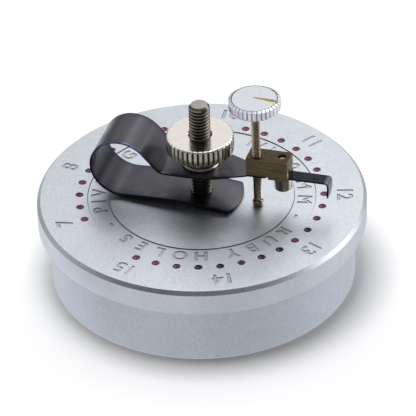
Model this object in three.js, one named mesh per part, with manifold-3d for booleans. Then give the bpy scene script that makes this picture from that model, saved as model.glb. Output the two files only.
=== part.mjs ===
// Jewelled pivot gauge: a turned aluminium base with a ring of graded ruby jewels, and a sprung
// holding arm that is swung over a jewel, set with a knurled nut and trimmed with a pointer screw.
// Millimetres, +Z up, origin at the centre of the face it stands on, +X along the holding arm.
import * as THREE from "three";
import { mergeVertices } from "three/addons/utils/BufferGeometryUtils.js";
import Module from "manifold-3d";

const wasm = await Module();
wasm.setup();

// ---- Driving dimensions -------------------------------------------------------------------

const BASE_HEIGHT = 16.8;
const FLANGE_R = 31;
const FLANGE_THICK = 4.85;
const FLANGE_CHAMFER = 0.65;
const DRUM_R = 28.8;
const RECESS_R = 24.5; // hollow turned into the underside, inside the standing ring
const RECESS_DEPTH = 1.5;
const EDGE_BREAK = 0.25;
const GROOVE_RADII = [17.5, 21.4]; // the two fine rings scribed on the top face
const GROOVE_HALF_WIDTH = 0.15;
const GROOVE_DEPTH = 0.15;

const JEWEL_COUNT = 33;
const JEWEL_STEP_DEG = 10;
const JEWEL_FIRST_DEG = -144.45; // the finest jewel; the rest follow clockwise from above
const JEWEL_RING_R = 23;
const JEWEL_R = 0.75;
const JEWEL_THICK = 1.1;
const JEWEL_CUP_R = 0.45;
const JEWEL_CUP_DEPTH = 0.25;
const SETTING_GAP = 0.06;

const STUD_R = 2; // M4
const STUD_TOP = 20.4; // above the base's top face
const STUD_SUNK = 9.5;
const STUD_CHAMFER = 0.35;

const STRIP_THICK = 0.36;
const STRIP_WIDTH = 10;
const LOOP_X = -14.2; // centre of the strip's loop
const LOOP_Z = 6.5;
const LOOP_R = 5.9;
const FLEX_GAP_DEG = 5.5; // half of the gap left where the loop flexes
const LEG_ARCH_R = 88;
const LEG_JOIN_DEG = 6; // how far round the loop's foot the arched leg takes over
const LEG_END_DEG = 8.6;
const LEG_END_R = 10;
const LEG_END_X = 8;

const ARM_Z = 7.08; // the arm's mid-plane at the stud, above the base's top face
const ARM_RISE_DEG = 1.5;
const ARM_DROP_DEG = 48; // slope of the strip where it comes down from the loop
const ARM_FILLET_R = 2;
const BEND_X = 24.15; // where the finger starts to turn down
const BEND_R = 0.8;
const TAPER_START_X = 2.6;
const TAPER_END_X = 9.9;
const NECK_HALF = 1.9;
const FINGER_HALF = 1.25;
const FINGER_START_X = 13.35;
const LEG_HOLE_R = 2.4;
const ARM_HOLE_R = 2.65;

const BLOCK_X = [9.45, 17.4];
const BLOCK_HALF = 1.9;
const BLOCK_TALL = 3.65;
const RAIL_START_X = 13.6;
const RAIL_DROP = 0.5;
const RAIL_INNER = 1.35;

const ROD_X = 11.08;
const ROD_Y = -0.4;
const ROD_LEAN_DEG = 0.6; // the screw stands this far off square to the arm
const ROD_R = 0.8; // M1.6
const ROD_NECK_R = 0.48;
const ROD_HOLE_R = 0.9;
const FOOT_R = 1.05;
const FOOT_BOTTOM_Z = -7.24; // heights along the screw are from the arm's mid-plane
const FOOT_TALL = 1.2;
const FOOT_FLOOR = 0.35; // solid part under the rod's neck
const KNOB_R = 4.85;
const KNOB_THICK = 2.02;
const KNOB_BOTTOM_Z = 14.42;
const KNOB_TEETH = 32;
const KNOB_TOOTH_DEPTH = 0.32;
const KNOB_RIM_R = 4.4;
const KNOB_BEVEL = 0.3;
const POINTER_DEPTH = 0.36;
const POINTER_REST_DEG = -4.4;
const POINTER_OFF_CENTRE = 0.3; // the inlay runs this far to one side of the centre

const FIXING_X = 15.9;
const FIXING_Y = 0.25;
const FIXING_HEAD_R = 1.73;
const FIXING_HEAD_TALL = 2.85;
const FIXING_SHANK_R = 0.7;

const WASHER_R = 3.5;
const WASHER_THICK = 0.4;
const NUT_HUB_R = 3.35;
const NUT_HUB_TALL = 2.6;
const NUT_R = 6.35;
const NUT_KNURL_TALL = 3.4;
const NUT_TEETH = 40;
const NUT_TOOTH_DEPTH = 0.38;
const NUT_BORE_R = 2.12;
const THREAD_FIT = 0.12;

// Worked out from the sizes above.
const PLATE_Z = BASE_HEIGHT;
const HALF_THICK = STRIP_THICK / 2;
const WASHER_GAP = 0.03;
const WASHER_Z =
  PLATE_Z + ARM_Z + HALF_THICK + WASHER_R * Math.tan(radians(ARM_RISE_DEG)) + WASHER_GAP;
const NUT_Z = WASHER_Z + WASHER_THICK;
const ROUND_STEPS = 32;
const JEWEL_STEPS = 12;

const FINISH = {
  aluminium: { color: 0xd2d7dc, roughness: 0.38, metalness: 1 },
  spring_steel: { color: 0x3c3b40, roughness: 0.3, metalness: 1 },
  ruby: { color: 0x5a1c34, roughness: 0.12, metalness: 0 },
  dark_steel: { color: 0x5a554e, roughness: 0.35, metalness: 1 },
  nickel: { color: 0xcfcabd, roughness: 0.22, metalness: 1 },
  brass: { color: 0x7d6738, roughness: 0.4, metalness: 1 },
  gilt: { color: 0xa8812f, roughness: 0.35, metalness: 1 },
};

// ---- Helpers ------------------------------------------------------------------------------

function radians(degrees) {
  return (degrees * Math.PI) / 180;
}

function solidOf(geometry) {
  const bare = geometry.clone();
  bare.deleteAttribute("normal");
  bare.deleteAttribute("uv");
  const merged = mergeVertices(bare, 1e-5);
  return new wasm.Manifold(
    new wasm.Mesh({
      numProp: 3,
      vertProperties: merged.attributes.position.array,
      triVerts: new Uint32Array(merged.index.array),
    }),
  );
}

function geometryOf(solid) {
  const mesh = solid.getMesh();
  const geometry = new THREE.BufferGeometry();
  geometry.setAttribute("position", new THREE.BufferAttribute(mesh.vertProperties, 3));
  geometry.setIndex(new THREE.BufferAttribute(mesh.triVerts, 1));
  const faceted = geometry.toNonIndexed();
  faceted.computeVertexNormals();
  return faceted;
}

function cut(geometry, ...tools) {
  return geometryOf(tools.reduce((left, tool) => left.subtract(solidOf(tool)), solidOf(geometry)));
}

function join(geometry, ...others) {
  return geometryOf(others.reduce((whole, other) => whole.add(solidOf(other)), solidOf(geometry)));
}

function common(geometry, other) {
  return geometryOf(solidOf(geometry).intersect(solidOf(other)));
}

// A turned piece about +Z. The profile is a list of [radius, z], from the bottom of the axis,
// round the outside and back to the axis at the top, or a closed ring given anticlockwise.
function turned(profile, steps = ROUND_STEPS) {
  const points = profile.map(([r, z]) => new THREE.Vector2(r, z));
  return new THREE.LatheGeometry(points, steps).rotateX(Math.PI / 2);
}

function rod(radius, bottom, top, steps = ROUND_STEPS) {
  const profile = [
    [0, bottom],
    [radius, bottom],
    [radius, top],
    [0, top],
  ];
  return turned(profile, steps);
}

function box([x0, x1], [y0, y1], [z0, z1]) {
  const shape = new THREE.BoxGeometry(x1 - x0, y1 - y0, z1 - z0);
  return shape.translate((x0 + x1) / 2, (y0 + y1) / 2, (z0 + z1) / 2);
}

// A plan outline given a height along Z.
function slab(shape, z0, z1) {
  const settings = { depth: z1 - z0, bevelEnabled: false, curveSegments: 12 };
  return new THREE.ExtrudeGeometry(shape, settings).translate(0, 0, z0);
}

// A toothed disc: straight knurling with flat-topped teeth.
function knurled(radius, teeth, depth, z0, z1) {
  const outline = [];
  const corners = [
    [-0.3, radius - depth],
    [-0.18, radius],
    [0.18, radius],
    [0.3, radius - depth],
  ];
  for (let tooth = 0; tooth < teeth; tooth += 1) {
    for (const [share, r] of corners) {
      const angle = ((tooth + share) / teeth) * 2 * Math.PI;
      outline.push(new THREE.Vector2(r * Math.cos(angle), r * Math.sin(angle)));
    }
  }
  return slab(new THREE.Shape(outline), z0, z1);
}

function piece(name, geometry, finish, position = [0, 0, 0]) {
  const material = new THREE.MeshStandardMaterial(FINISH[finish]);
  const mesh = new THREE.Mesh(geometry, material);
  mesh.name = name;
  mesh.position.set(...position);
  return mesh;
}

// ---- Base, jewels and stud ----------------------------------------------------------------

function jewelPlaces() {
  return Array.from({ length: JEWEL_COUNT }, (_, place) => {
    const angle = radians(JEWEL_FIRST_DEG - place * JEWEL_STEP_DEG);
    return [JEWEL_RING_R * Math.cos(angle), JEWEL_RING_R * Math.sin(angle), PLATE_Z];
  });
}

function scribedRings() {
  return GROOVE_RADII.toReversed().flatMap((r) => [
    [r + GROOVE_HALF_WIDTH, PLATE_Z],
    [r, PLATE_Z - GROOVE_DEPTH],
    [r - GROOVE_HALF_WIDTH, PLATE_Z],
  ]);
}

function baseBody() {
  const flangeBottom = PLATE_Z - FLANGE_THICK;
  const profile = [
    [0, RECESS_DEPTH],
    [RECESS_R, RECESS_DEPTH],
    [RECESS_R, 0],
    [DRUM_R - EDGE_BREAK, 0],
    [DRUM_R, EDGE_BREAK],
    [DRUM_R, flangeBottom],
    [FLANGE_R - EDGE_BREAK, flangeBottom],
    [FLANGE_R, flangeBottom + EDGE_BREAK],
    [FLANGE_R, PLATE_Z - FLANGE_CHAMFER],
    [FLANGE_R - FLANGE_CHAMFER, PLATE_Z],
    ...scribedRings(),
    [0, PLATE_Z],
  ];
  const above = PLATE_Z + 1;
  const studHole = rod(STUD_R + THREAD_FIT, PLATE_Z - STUD_SUNK - THREAD_FIT, above);
  const pocketFloor = -JEWEL_THICK - SETTING_GAP;
  const pockets = jewelPlaces().map((place) =>
    rod(JEWEL_R + SETTING_GAP, pocketFloor, 1, JEWEL_STEPS).translate(...place),
  );
  return cut(turned(profile, 96), studHole, ...pockets);
}

// A hole jewel: a flat disc with a domed oil cup.
function jewel() {
  const profile = [
    [0, -JEWEL_THICK],
    [JEWEL_R, -JEWEL_THICK],
    [JEWEL_R, 0],
    [JEWEL_CUP_R, 0],
    [0, -JEWEL_CUP_DEPTH],
  ];
  return turned(profile, JEWEL_STEPS);
}

function stud() {
  const top = PLATE_Z + STUD_TOP;
  const profile = [
    [0, PLATE_Z - STUD_SUNK],
    [STUD_R, PLATE_Z - STUD_SUNK],
    [STUD_R, top - STUD_CHAMFER],
    [STUD_R - STUD_CHAMFER, top],
    [0, top],
  ];
  return turned(profile);
}

// ---- Spring strip -------------------------------------------------------------------------

// Walks a centre line in the XZ plane: each move is a straight length or an arc of a radius
// turned through an angle, positive to the left.
function walk([x, z], headingDeg, moves) {
  const points = [[x, z, radians(headingDeg)]];
  for (const move of moves) {
    const [fromX, fromZ, heading] = points.at(-1);
    if (move.ahead) {
      points.push([
        fromX + move.ahead * Math.cos(heading),
        fromZ + move.ahead * Math.sin(heading),
        heading,
      ]);
      continue;
    }
    const side = Math.sign(move.turnDeg);
    const centreX = fromX - side * move.radius * Math.sin(heading);
    const centreZ = fromZ + side * move.radius * Math.cos(heading);
    for (let step = 1; step <= move.steps; step += 1) {
      const now = heading + radians((move.turnDeg * step) / move.steps);
      points.push([
        centreX + side * move.radius * Math.sin(now),
        centreZ - side * move.radius * Math.cos(now),
        now,
      ]);
    }
  }
  return points;
}

// The centre line thickened to the strip's gauge and given its full width along Y.
function strip(centreLine) {
  const sideOf = (side) =>
    centreLine.map(
      ([x, z, heading]) =>
        new THREE.Vector2(x - side * Math.sin(heading), z + side * Math.cos(heading)),
    );
  const outline = [...sideOf(HALF_THICK), ...sideOf(-HALF_THICK).reverse()];
  const settings = { depth: STRIP_WIDTH, bevelEnabled: false };
  const ribbon = new THREE.ExtrudeGeometry(new THREE.Shape(outline), settings);
  return ribbon.rotateX(Math.PI / 2).translate(0, STRIP_WIDTH / 2, 0);
}

function onLoop(angleDeg) {
  const angle = radians(angleDeg);
  return [LOOP_X + LOOP_R * Math.cos(angle), LOOP_Z + LOOP_R * Math.sin(angle)];
}

// The lower half of the loop and the leg that lies under the nut.
function springLeg() {
  const centreLine = walk(onLoop(180 + FLEX_GAP_DEG), 270 + FLEX_GAP_DEG, [
    { radius: LOOP_R, turnDeg: 90 + LEG_JOIN_DEG - FLEX_GAP_DEG, steps: 12 },
    { radius: LEG_ARCH_R, turnDeg: -LEG_JOIN_DEG - LEG_END_DEG, steps: 8 },
  ]);
  const left = LOOP_X - 2 * LOOP_R;
  const half = STRIP_WIDTH;
  const plan = new THREE.Shape();
  const spread = Math.asin(STRIP_WIDTH / 2 / LEG_END_R);
  const cornerX = LEG_END_X - LEG_END_R + LEG_END_R * Math.cos(spread);
  plan.moveTo(left, half);
  plan.lineTo(left, -half);
  plan.lineTo(cornerX, -half);
  plan.lineTo(cornerX, -STRIP_WIDTH / 2);
  plan.absarc(LEG_END_X - LEG_END_R, 0, LEG_END_R, -spread, spread, false);
  plan.lineTo(cornerX, half);
  const shaped = common(strip(centreLine), slab(plan, -1, 2 * LOOP_Z));
  return cut(shaped, rod(LEG_HOLE_R, -1, 2));
}

// The arm's plan: full width round the loop and under the nut, drawn in to the block's width,
// then to the narrow finger.
function armPlan() {
  const left = LOOP_X - 2 * LOOP_R;
  const half = STRIP_WIDTH / 2;
  const beyond = BEND_X + 3 * BEND_R;
  const soften = 1.2;
  const upper = [
    [TAPER_END_X, NECK_HALF],
    [FINGER_START_X, NECK_HALF],
    [FINGER_START_X, FINGER_HALF],
    [beyond, FINGER_HALF],
  ];
  const plan = new THREE.Shape();
  plan.moveTo(left, half + 1);
  plan.lineTo(left, -half - 1);
  plan.lineTo(0, -half - 1);
  plan.lineTo(TAPER_START_X - soften, -half);
  plan.quadraticCurveTo(TAPER_START_X, -half, TAPER_START_X + soften, soften / 2 - half);
  upper.forEach(([x, y]) => plan.lineTo(x, -y));
  upper.toReversed().forEach(([x, y]) => plan.lineTo(x, y));
  plan.lineTo(TAPER_START_X + soften, half - soften / 2);
  plan.quadraticCurveTo(TAPER_START_X, half, TAPER_START_X - soften, half);
  plan.lineTo(0, half + 1);
  return plan;
}

// The upper half of the loop, the arm under the nut and the finger with its turned-down tip.
function springArm() {
  const drop = radians(ARM_DROP_DEG);
  const rise = radians(ARM_RISE_DEG);
  const [topX, topZ] = onLoop(90 - ARM_DROP_DEG);
  const meetX =
    (topZ - ARM_Z + topX * Math.tan(drop)) / (Math.tan(drop) + Math.tan(rise));
  const tangent = ARM_FILLET_R * Math.tan((drop + rise) / 2);
  const down = (meetX - topX) / Math.cos(drop) - tangent;
  const along = (BEND_X - meetX) / Math.cos(rise) - tangent;
  const centreLine = walk(onLoop(180 - FLEX_GAP_DEG), 90 - FLEX_GAP_DEG, [
    { radius: LOOP_R, turnDeg: FLEX_GAP_DEG - 90 - ARM_DROP_DEG, steps: 18 },
    { ahead: down },
    { radius: ARM_FILLET_R, turnDeg: ARM_DROP_DEG + ARM_RISE_DEG, steps: 5 },
    { ahead: along },
    { radius: BEND_R, turnDeg: -85 - ARM_RISE_DEG, steps: 6 },
    { radius: 9, turnDeg: -20, steps: 4 },
  ]);
  const [tipX, tipZ] = centreLine.at(-1);
  const shaped = common(strip(centreLine), slab(armPlan(), 0, 2 * LOOP_Z + 1));
  const studHole = new THREE.Shape();
  const slotHalf = 0.35;
  studHole.absarc(slotHalf, 0, ARM_HOLE_R, -Math.PI / 2, Math.PI / 2, false);
  studHole.absarc(-slotHalf, 0, ARM_HOLE_R, Math.PI / 2, 1.5 * Math.PI, false);
  const screwHole = (x, y, r) =>
    rod(r, -2, 2, 16).rotateY(-rise).translate(x, y, ARM_Z + x * Math.tan(rise));
  const tipCorner = (side) => {
    const corner = new THREE.Shape();
    corner.moveTo(side * 0.25, -1);
    corner.lineTo(side * (FINGER_HALF + 1), -1);
    corner.lineTo(side * (FINGER_HALF + 1), 2.2);
    corner.lineTo(side * FINGER_HALF, 1.3);
    corner.lineTo(side * 0.25, 0);
    const block = new THREE.ExtrudeGeometry(corner, { depth: 4, bevelEnabled: false });
    return block.rotateX(Math.PI / 2).rotateZ(Math.PI / 2).translate(tipX - 2, 0, tipZ);
  };
  return cut(
    shaped,
    slab(studHole, ARM_Z - 2, ARM_Z + 2),
    screwHole(ROD_X, ROD_Y, ROD_HOLE_R + 0.15),
    screwHole(FIXING_X, FIXING_Y, FIXING_SHANK_R + 0.12),
    tipCorner(1),
    tipCorner(-1),
  );
}

// ---- Pieces carried by the arm, in the arm's own frame ------------------------------------

function block() {
  const floor = HALF_THICK;
  const body = box(BLOCK_X, [-BLOCK_HALF, BLOCK_HALF], [floor, floor + BLOCK_TALL]);
  const rails = [-1, 1].map((side) => {
    const across = [side * RAIL_INNER, side * BLOCK_HALF].sort((a, b) => a - b);
    return box([RAIL_START_X, BLOCK_X[1]], across, [floor - RAIL_DROP, floor + 0.5]);
  });
  const through = [floor - 1, floor + BLOCK_TALL + 1];
  return cut(
    join(body, ...rails),
    rod(ROD_HOLE_R, ...through, 24).rotateY(radians(ROD_LEAN_DEG)).translate(ROD_X, ROD_Y, 0),
    rod(FIXING_SHANK_R + 0.1, ...through, 24).translate(FIXING_X, FIXING_Y, 0),
  );
}

// Fixing screw: a plain round head under the finger with a driver slot, its end in the block.
function fixingScrew() {
  const collar = -HALF_THICK - 0.02;
  const headTop = HALF_THICK - RAIL_DROP - 0.03;
  const headBottom = headTop - FIXING_HEAD_TALL;
  const collarR = 0.95;
  const profile = [
    [0, headBottom],
    [FIXING_HEAD_R - 0.3, headBottom],
    [FIXING_HEAD_R, headBottom + 0.3],
    [FIXING_HEAD_R, headTop],
    [collarR, headTop],
    [collarR, collar],
    [FIXING_SHANK_R, collar],
    [FIXING_SHANK_R, HALF_THICK + BLOCK_TALL - 0.25],
    [0, HALF_THICK + BLOCK_TALL - 0.05],
  ];
  const slot = box([-2, 2], [-0.25, 0.25], [headBottom - 1, headBottom + 0.7]);
  return cut(turned(profile, 24), slot);
}

// The rod of the pointer screw, with a thin neck that the foot is pressed on.
function pointerRod() {
  const end = FOOT_BOTTOM_Z + FOOT_FLOOR;
  const shoulder = FOOT_BOTTOM_Z + FOOT_TALL + 0.1;
  const profile = [
    [0, end],
    [ROD_NECK_R, end],
    [ROD_NECK_R, shoulder],
    [ROD_R, shoulder],
    [ROD_R, KNOB_BOTTOM_Z],
    [0, KNOB_BOTTOM_Z],
  ];
  return turned(profile, 24);
}

// Foot: a low barrel with rounded edges, bored from above for the rod's neck.
function foot() {
  const boreR = ROD_NECK_R + 0.06;
  const floor = FOOT_FLOOR - 0.06;
  const barrel = [
    [0, 0],
    [0.72, 0],
    [0.94, 0.2],
    [FOOT_R, 0.5],
    [FOOT_R, 0.8],
    [0.9, 1.05],
    [0.72, FOOT_TALL],
    [boreR, FOOT_TALL],
    [boreR, floor],
    [0, floor],
  ];
  return turned(barrel, 24).translate(0, 0, FOOT_BOTTOM_Z);
}

// The knob's flat face and its bevel, down to the given depth below the face.
function knobFace(depth, beyond) {
  const top = KNOB_BOTTOM_Z + KNOB_THICK;
  const bevelR = KNOB_R - KNOB_TOOTH_DEPTH;
  const profile = [
    [0, top - depth],
    [bevelR + beyond, top - depth],
    [bevelR + beyond, top - KNOB_BEVEL],
    [bevelR, top - KNOB_BEVEL],
    [KNOB_RIM_R, top],
    [0, top],
  ];
  return turned(profile, 48);
}

function knob() {
  const top = KNOB_BOTTOM_Z + KNOB_THICK;
  const disc = knurled(KNOB_R, KNOB_TEETH, KNOB_TOOTH_DEPTH, KNOB_BOTTOM_Z, top - KNOB_BEVEL);
  const groove = slab(pointerOutline(0.05), top - POINTER_DEPTH - 0.05, top + 1);
  return cut(join(disc, knobFace(0.5, 0)), groove);
}

// The inlaid pointer: a thin wedge from near the centre out over the bevel.
function pointerOutline(grow) {
  const narrow = 0.1 + grow;
  const wide = 0.4 + grow;
  const tip = 0.2 + grow;
  const widestX = 3.6;
  const endX = KNOB_R - 0.2 + grow;
  const startX = -0.2 - grow;
  const half = [[startX, narrow], [widestX, wide], [endX, tip]];
  const outline = [...half.map(([x, y]) => [x, -y]), ...half.reverse()];
  return new THREE.Shape(outline.map(([x, y]) => new THREE.Vector2(x, y + POINTER_OFF_CENTRE)));
}

function knobPointer() {
  const top = KNOB_BOTTOM_Z + KNOB_THICK;
  return common(slab(pointerOutline(0), top - POINTER_DEPTH, top + 1), knobFace(1, 1));
}

// ---- Washer and nut -----------------------------------------------------------------------

function washer() {
  const inner = STUD_R + 0.2;
  const profile = [
    [inner, 0],
    [WASHER_R, 0],
    [WASHER_R, WASHER_THICK],
    [inner, WASHER_THICK],
    [inner, 0],
  ];
  return turned(profile);
}

function nut() {
  const overlap = 0.5;
  const shoulder = NUT_HUB_TALL;
  const top = shoulder + NUT_KNURL_TALL;
  const rim = NUT_R - NUT_TOOTH_DEPTH;
  const hub = rod(NUT_HUB_R, 0, shoulder + overlap);
  const grip = knurled(NUT_R, NUT_TEETH, NUT_TOOTH_DEPTH, shoulder, top - 0.25);
  const face = [
    [0, top - overlap],
    [rim, top - overlap],
    [rim, top - 0.25],
    [rim - 0.3, top],
    [0, top],
  ];
  const bore = rod(NUT_BORE_R, -1, top + 1);
  const mouth = [
    [0, top - 0.5],
    [NUT_BORE_R, top - 0.5],
    [NUT_BORE_R + 0.75, top + 0.25],
    [0, top + 0.25],
  ];
  return cut(join(grip, hub, turned(face, 48)), bore, turned(mouth));
}

// ---- Assembly -----------------------------------------------------------------------------

const gauge = new THREE.Group();

gauge.add(piece("base_body", baseBody(), "aluminium"));
jewelPlaces().forEach((place, index) => {
  const name = `jewel_${String(index + 1).padStart(2, "0")}`;
  gauge.add(piece(name, jewel(), "ruby", place));
});
gauge.add(piece("stud", stud(), "dark_steel"));

const holder = new THREE.Group();
holder.position.z = PLATE_Z;
holder.add(piece("spring_leg", springLeg(), "spring_steel"));
holder.add(piece("spring_arm", springArm(), "spring_steel"));
gauge.add(holder);

const carried = new THREE.Group();
carried.position.z = ARM_Z;
carried.rotation.y = -radians(ARM_RISE_DEG);
holder.add(carried);
carried.add(piece("block", block(), "brass"));
carried.add(piece("fixing_screw", fixingScrew(), "nickel", [FIXING_X, FIXING_Y, 0]));

const pointerScrew = new THREE.Group();
pointerScrew.position.set(ROD_X, ROD_Y, 0);
pointerScrew.rotation.y = radians(ROD_LEAN_DEG);
carried.add(pointerScrew);
pointerScrew.add(piece("screw_foot", foot(), "nickel"));
pointerScrew.add(piece("pointer_rod", pointerRod(), "nickel"));

const dial = new THREE.Group();
dial.rotation.z = radians(POINTER_REST_DEG);
pointerScrew.add(dial);
dial.add(piece("pointer_knob", knob(), "nickel"));
dial.add(piece("knob_pointer", knobPointer(), "gilt"));

gauge.add(piece("washer", washer(), "nickel", [0, 0, WASHER_Z]));
gauge.add(piece("knurled_nut", nut(), "nickel", [0, 0, NUT_Z]));

export default gauge;
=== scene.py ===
"""Looks of the jewelled pivot gauge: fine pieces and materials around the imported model.

Lengths are in millimetres until a mesh is made, angles in degrees unless a name says otherwise.
"""

import math

import bmesh
import bpy
from mathutils import Matrix, Vector


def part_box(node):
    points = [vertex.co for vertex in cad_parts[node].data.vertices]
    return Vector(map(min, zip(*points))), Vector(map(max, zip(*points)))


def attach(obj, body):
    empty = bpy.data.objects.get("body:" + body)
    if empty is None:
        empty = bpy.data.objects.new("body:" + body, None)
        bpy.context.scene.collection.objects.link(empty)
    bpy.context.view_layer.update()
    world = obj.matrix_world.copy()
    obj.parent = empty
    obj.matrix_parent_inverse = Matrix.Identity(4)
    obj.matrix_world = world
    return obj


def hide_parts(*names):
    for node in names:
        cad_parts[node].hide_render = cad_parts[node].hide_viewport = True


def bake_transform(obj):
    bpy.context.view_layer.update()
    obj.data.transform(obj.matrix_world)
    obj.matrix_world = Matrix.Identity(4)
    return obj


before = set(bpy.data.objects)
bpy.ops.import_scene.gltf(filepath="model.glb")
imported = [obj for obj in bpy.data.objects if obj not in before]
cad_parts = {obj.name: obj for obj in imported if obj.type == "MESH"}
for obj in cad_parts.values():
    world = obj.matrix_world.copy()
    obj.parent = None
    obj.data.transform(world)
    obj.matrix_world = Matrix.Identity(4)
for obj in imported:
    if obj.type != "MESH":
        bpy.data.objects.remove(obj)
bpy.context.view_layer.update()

MM = 0.001
TAU = 2 * math.pi

# ---- Sizes ---------------------------------------------------------------------------------


def box_mm(node):
    low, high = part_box(node)
    return low / MM, high / MM


BASE_HIGH = box_mm("base_body")[1]
PLATE_Z = BASE_HIGH.z
FLANGE_R = BASE_HIGH.x
FLANGE_THICK = 4.85
FLANGE_CHAMFER = 0.65
DRUM_R = 28.8
RECESS_R = 24.5
RECESS_DEPTH = 1.5
BAND_INNER_R, BAND_OUTER_R = 17.5, 21.4  # the lettering stands in a shallow turned band
BAND_DEPTH = 0.18

JEWEL_NODES = sorted(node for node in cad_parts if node.startswith("jewel_"))
JEWEL_STEP = 10
JEWEL_FIRST = -144.45
JEWEL_RING_R = 23
JEWEL_R = 0.71
JEWEL_THICK = 1.1
POCKET_R = 0.74
SMALLEST_FIGURE = 7  # the figures give the holes in hundredths of a millimetre
JEWELS_PER_FIGURE = 4

STUD_R = box_mm("stud")[1].x
STUD_TOP = box_mm("stud")[1].z
STUD_BOTTOM = box_mm("stud")[0].z
STUD_PITCH = 0.7
STUD_THREAD_DEPTH = 0.42
STUD_CLEARANCE = 0.12

STRIP_THICK = 0.36
STRIP_WIDTH = 10
LOOP_X = -14.2
LOOP_Z = PLATE_Z + 6.5
LOOP_R = 5.9
LEG_ARCH_R = 88
LEG_JOIN = 6
LEG_END = 8  # degrees of the arched leg past its top
LEG_END_R = 10
ARM_Z = PLATE_Z + 7.08  # middle of the strip at the stud
ARM_RISE = 1.5
ARM_DROP = 48
ARM_FILLET_R = 2
BEND_X = 24.3
BEND_R = 0.6
LEG_HOLE_R = 2.1
ARM_HOLE_R = 2.65
ARM_HOLE_SHIFT = 0.35  # the arm's hole is a short slot along the strip
ROD_CLEAR_R = 1.05
FIXING_CLEAR_R = 0.82

BLOCK_X = (9.45, 17.4)
BLOCK_HALF = 1.9
BLOCK_FLOOR = STRIP_THICK / 2
BLOCK_TALL = 3.65
RAIL_START_X = 13.6
RAIL_DROP = 0.5
RAIL_INNER = 1.35
FIXING_X, FIXING_Y = 15.9, 0.25
FIXING_HEAD_R = 1.73
FIXING_HEAD_TALL = 2.85
SCREW_HOLE_R = 0.78
ROD_HOLE_R = 0.9

ROD_X, ROD_Y, ROD_LEAN = 11.08, -0.4, 0.6
ROD_R = 0.8
ROD_PITCH = 0.35
ROD_THREAD_DEPTH = 0.16
ROD_NECK_R = 0.48
FOOT_R = 1.05
FOOT_BOTTOM = -7.24
FOOT_TALL = 1.2
KNOB_R = 4.85
KNOB_BOTTOM = 14.42
KNOB_TOP = KNOB_BOTTOM + 2.02
KNOB_FACE_R = 4.16
KNOB_TEETH = 34
KNOB_BEVEL_DROP = 0.25
POINTER_TURN = -4.4
POINTER_OFF_CENTRE = 0.3

NUT_LOW, NUT_HIGH = box_mm("knurled_nut")
NUT_R = NUT_HIGH.x
NUT_TEETH = 40
NUT_HUB_TALL = 2.6
WASHER_LOW, WASHER_HIGH = box_mm("washer")

ON_ARM = Matrix.Translation((0, 0, ARM_Z)) @ Matrix.Rotation(-math.radians(ARM_RISE), 4, "Y")
ON_FIXING = ON_ARM @ Matrix.Translation((FIXING_X, FIXING_Y, 0))
ROD_TURN = Matrix.Rotation(math.radians(ROD_LEAN), 4, "Y")
ON_ROD = ON_ARM @ Matrix.Translation((ROD_X, ROD_Y, 0)) @ ROD_TURN


# ---- Camera --------------------------------------------------------------------------------

VIEW_AZIMUTH = 18
VIEW_ELEVATION = 35.676
VIEW_ROLL = -1.668
VIEW_DISTANCE = 685.4
VIEW_SIDE = 1.178
VIEW_UP = -2.599
LENS = 315.76


def place_camera():
    camera = bpy.data.objects.new("camera", bpy.data.cameras.new("camera"))
    bpy.context.scene.collection.objects.link(camera)
    camera.data.sensor_width = 36
    camera.data.lens = LENS
    camera.data.clip_end = 10
    tilt = Matrix.Rotation(math.radians(90 - VIEW_ELEVATION), 4, "X")
    roll = Matrix.Rotation(math.radians(VIEW_ROLL), 4, "Z")
    turn = Matrix.Rotation(math.radians(VIEW_AZIMUTH), 4, "Z")
    stand = Matrix.Translation((VIEW_SIDE, VIEW_UP, VIEW_DISTANCE))
    aim = turn @ tilt @ roll @ stand
    aim.translation = (aim.translation + Vector((0, 0, PLATE_Z))) * MM
    camera.matrix_world = aim
    bpy.context.scene.camera = camera


# ---- Mesh helpers --------------------------------------------------------------------------

SLIVER = 0.001
LEVEL = 0.99999  # the upward part of a level face's direction


def polar(radius, angle):
    return radius * math.cos(angle), radius * math.sin(angle)


def link_piece(name, mesh, sharp=32):
    mesh.validate()
    mesh.polygons.foreach_set("use_smooth", [True] * len(mesh.polygons))
    mesh.set_sharp_from_angle(angle=math.radians(sharp))
    piece = bpy.data.objects.new(name, mesh)
    bpy.context.scene.collection.objects.link(piece)
    return piece


def build(name, vertices, faces, place=Matrix(), sharp=32):
    """A piece from points in millimetres, put in its place in the row frame."""
    mesh = bpy.data.meshes.new(name)
    mesh.from_pydata([tuple(v) for v in vertices], [], faces)
    mesh.transform(Matrix.Scale(MM, 4) @ place)
    return link_piece(name, mesh, sharp)


def revolve(profile, steps, radius_at=None):
    """Points and faces of a turned surface about Z.

    The profile starts and ends on the axis, from the bottom round the outside, or is a closed
    ring given anticlockwise. radius_at(radius, angle) may shape it round the axis.
    """
    closed = profile[0][0] != 0
    ring = profile if closed else profile[1:-1]
    vertices = []
    for radius, z in ring:
        for step in range(steps):
            angle = TAU * step / steps
            shaped = radius_at(radius, angle) if radius_at else radius
            vertices.append((*polar(shaped, angle), z))
    faces = []
    rows = len(ring)
    for row in range(rows if closed else rows - 1):
        low, high = row * steps, (row + 1) % rows * steps
        for step in range(steps):
            after = (step + 1) % steps
            faces.append((low + step, low + after, high + after, high + step))
    if not closed:
        bottom, top = len(vertices), len(vertices) + 1
        vertices += [(0, 0, profile[0][1]), (0, 0, profile[-1][1])]
        last = (rows - 1) * steps
        for step in range(steps):
            after = (step + 1) % steps
            faces.append((bottom, after, step))
            faces.append((top, last + step, last + after))
    return vertices, faces


def turned(name, profile, steps, place=Matrix(), radius_at=None, sharp=32):
    return build(name, *revolve(profile, steps, radius_at), place, sharp)


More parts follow.
